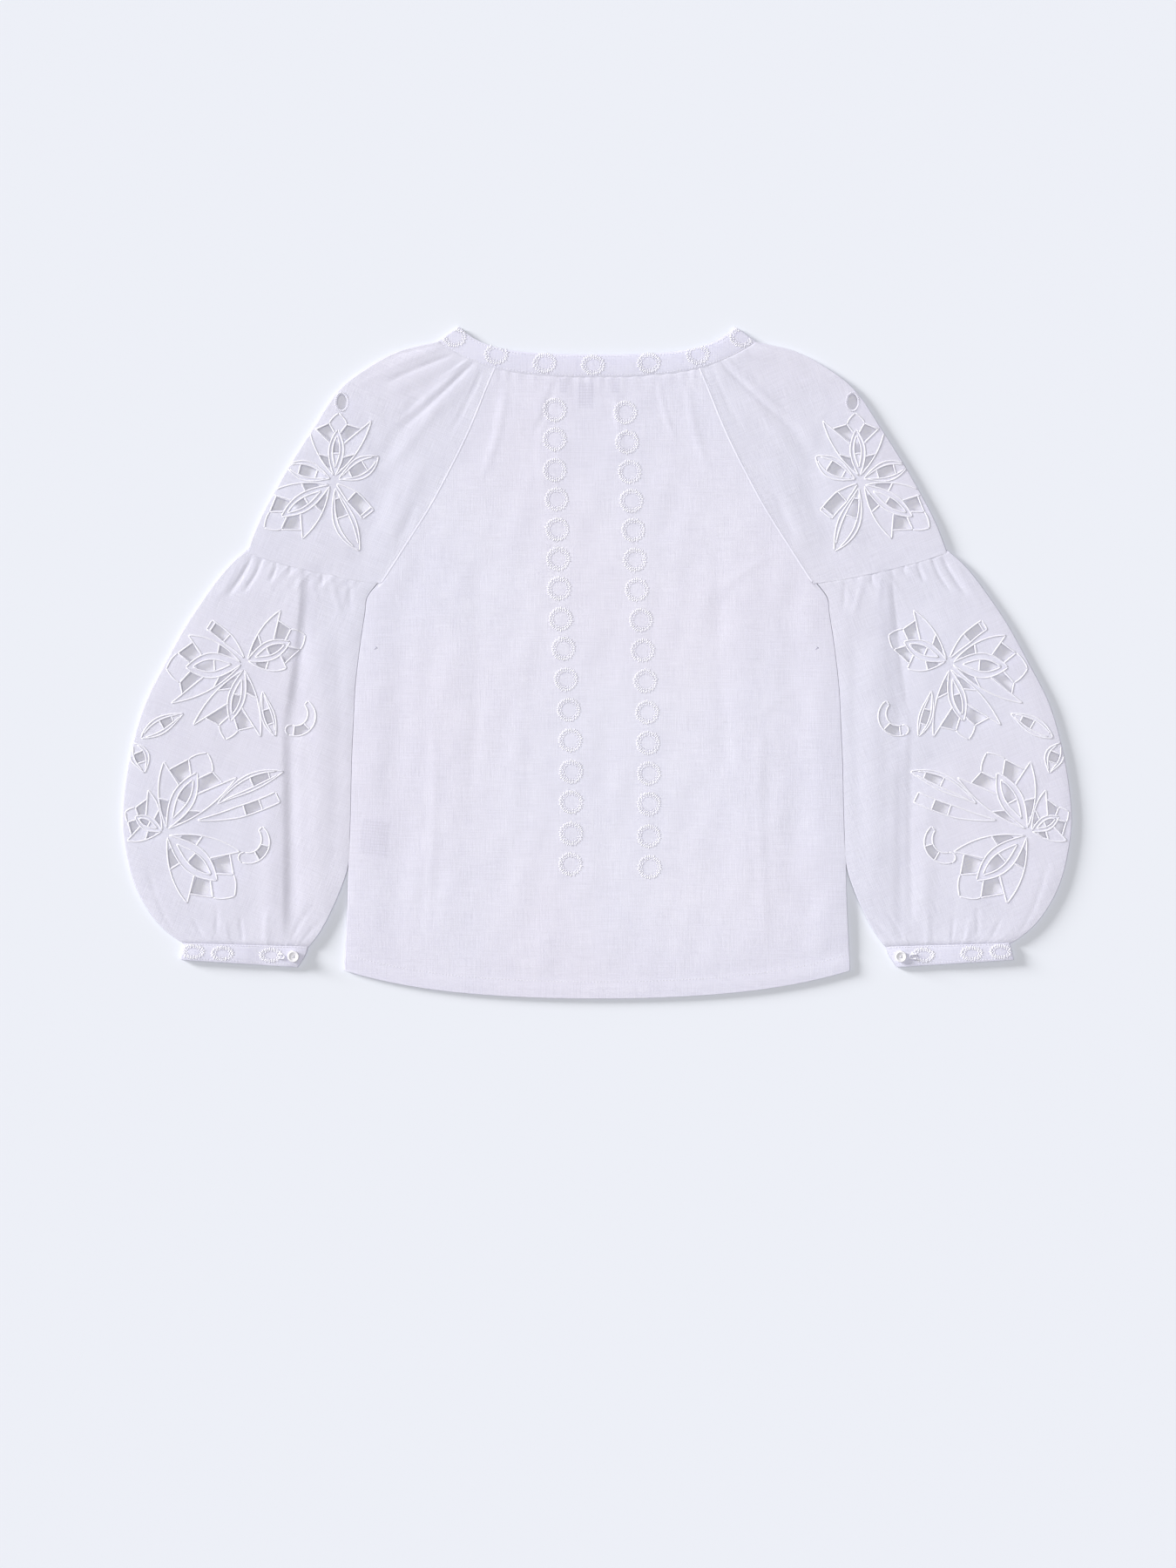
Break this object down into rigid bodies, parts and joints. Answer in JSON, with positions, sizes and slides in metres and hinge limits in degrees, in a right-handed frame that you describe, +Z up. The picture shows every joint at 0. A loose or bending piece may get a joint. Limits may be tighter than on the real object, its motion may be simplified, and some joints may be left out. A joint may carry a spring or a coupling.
{
  "type": "embroidered linen folk blouse laid flat",
  "caption": "White linen folk blouse laid flat, back up: stand collar, raglan balloon sleeves with cutwork flowers, buttoned cuffs and embroidered rings.",
  "frame": {"origin": "middle of the blouse's outline on the surface it lies on", "axes": "+Z up from the surface to the back of the blouse, +Y toward the neck, +X toward the wearer's right sleeve"},
  "size_m": [0.9256, 0.6554, 0.0068],
  "materials": {
    "linen": "soft white linen, plain weave with slubs, matt",
    "band_linen": "the same linen doubled for the collar band and cuffs, matt",
    "button_plastic": "small white button, soft gloss",
    "thread": "white cotton thread",
    "label_tape": "bare woven label tape"
  },
  "bodies": {
    "root": {"back_panel": "linen", "front_panel": "linen", "collar_back": "band_linen", "collar_front": "band_linen", "upper_sleeve_left_back": "linen", "upper_sleeve_left_front": "linen", "upper_sleeve_right_back": "linen", "upper_sleeve_right_front": "linen", "lower_sleeve_left_back": "linen", "lower_sleeve_left_front": "linen", "lower_sleeve_right_back": "linen", "lower_sleeve_right_front": "linen", "cuff_left_back": "band_linen", "cuff_left_front": "band_linen", "cuff_right_back": "band_linen", "cuff_right_front": "band_linen", "cuff_button_left": "button_plastic", "cuff_button_right": "button_plastic", "cuff_loop_left": "thread", "cuff_loop_right": "thread", "neck_label": "label_tape", "size_tag": "label_tape", "care_label": "label_tape"}
  },
  "joints": []
}
